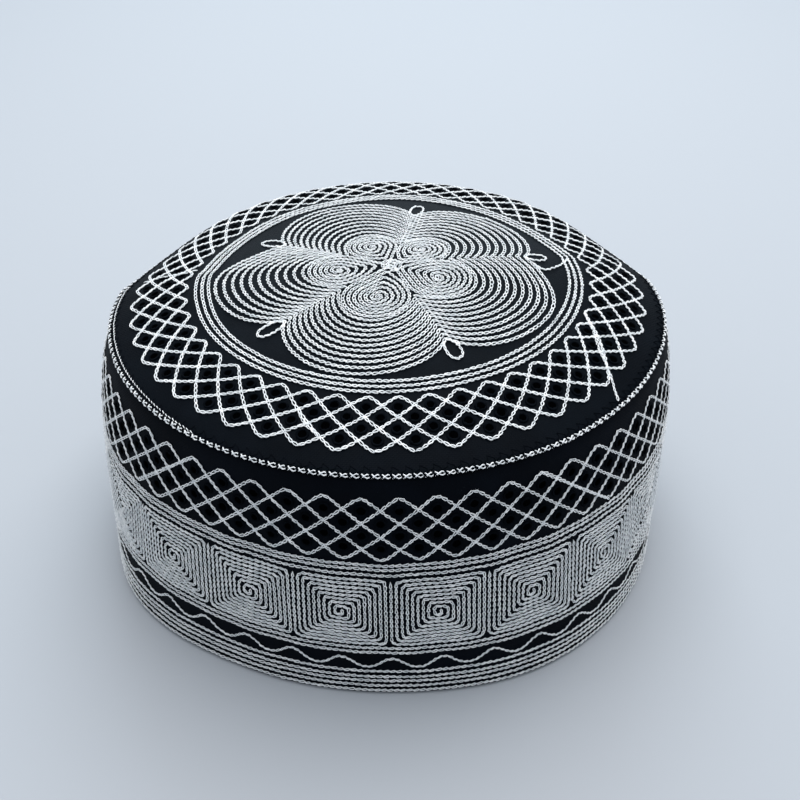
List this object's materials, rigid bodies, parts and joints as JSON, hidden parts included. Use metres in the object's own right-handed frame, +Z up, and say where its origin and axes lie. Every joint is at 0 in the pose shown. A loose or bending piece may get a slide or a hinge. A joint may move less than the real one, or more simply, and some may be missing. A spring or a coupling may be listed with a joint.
{
  "type": "prayer cap",
  "caption": "Flat-topped round cloth prayer cap with a shallow domed crown, an upright side band open below, and chain-stitch embroidery.",
  "frame": {"origin": "centre of the bounding box's bottom face, on the surface that the hem stands on", "axes": "+Z up through the crown, +X to the right end of the crown's fold line, -Y towards the front of the cap"},
  "size_m": [0.186, 0.1856, 0.0929],
  "materials": {
    "black_cloth": "tightly woven navy-black cotton cloth with a faint sheen",
    "white_thread": "soft white chain-stitch thread, matte and slightly fuzzy",
    "black_thread": "black sewing thread, satin"
  },
  "bodies": {
    "root": {"crown": "black_cloth", "side_band": "black_cloth"}
  },
  "joints": []
}
